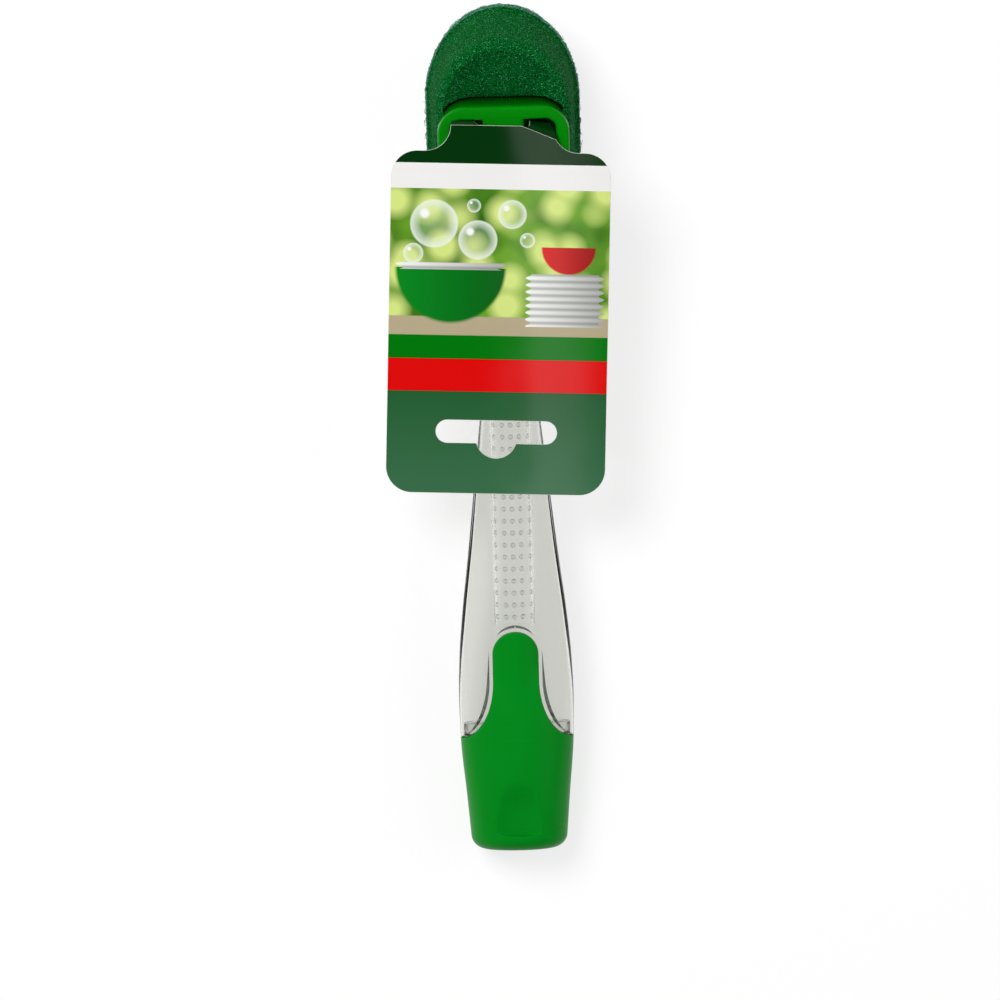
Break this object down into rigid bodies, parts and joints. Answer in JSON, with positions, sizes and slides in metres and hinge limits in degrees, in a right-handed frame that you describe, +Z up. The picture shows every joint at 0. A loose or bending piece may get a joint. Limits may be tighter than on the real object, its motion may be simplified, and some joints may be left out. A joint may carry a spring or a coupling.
{
  "type": "soap-dispensing dish wand",
  "caption": "Soap-dispensing dish wand with a clear reservoir handle, a pull-off grip cap, a push-on foam and scourer head, and a folded hang card.",
  "frame": {"origin": "on the resting surface, under the middle of the object's bounding box", "axes": "+X across the wand, +Y along it from the grip cap to the toe of the scrubbing head, +Z up; the wand lies on its back, on the cap's end and the scouring pad's heel"},
  "size_m": [0.0738, 0.2718, 0.0432],
  "materials": {
    "clear_plastic": "clear, glossy",
    "green_plastic": "satin",
    "green_gloss_plastic": "glossy",
    "white_plastic": "glossy",
    "seal_rubber": "matte",
    "silicone": "matte",
    "green_foam": "open-cell foam",
    "scouring_fibre": "rough non-woven fibre",
    "printed_card": "printed, varnished paperboard"
  },
  "bodies": {
    "handle": {"reservoir_shell": "clear_plastic", "neck_seal_ring": "seal_rubber", "dose_valve": "silicone", "valve_retainer": "white_plastic", "fill_collar": "clear_plastic", "card_flap": "printed_card"},
    "cap": {"grip_cap": "green_plastic", "cap_stopper": "white_plastic", "stopper_seal_ring": "seal_rubber"},
    "head": {"head_base": "green_gloss_plastic", "sponge_foam": "green_foam", "scour_pad": "scouring_fibre"},
    "card": {"card_panel": "printed_card"}
  },
  "joints": [
    {"name": "cap_pull", "type": "slide", "parent": "handle", "child": "cap", "axis": [0, -0.9957, -0.0921], "range_m": [0, 0.06]},
    {"name": "head_pull", "type": "slide", "parent": "handle", "child": "head", "axis": [0, 0.9957, 0.0921], "range_m": [0, 0.024]},
    {"name": "card_lift", "type": "hinge", "parent": "handle", "child": "card", "pos_m": [0.00246, 0.09598, 0.04287], "axis": [-0.9991, 0.0417, 0.0039], "range_deg": [0, 80]}
  ]
}
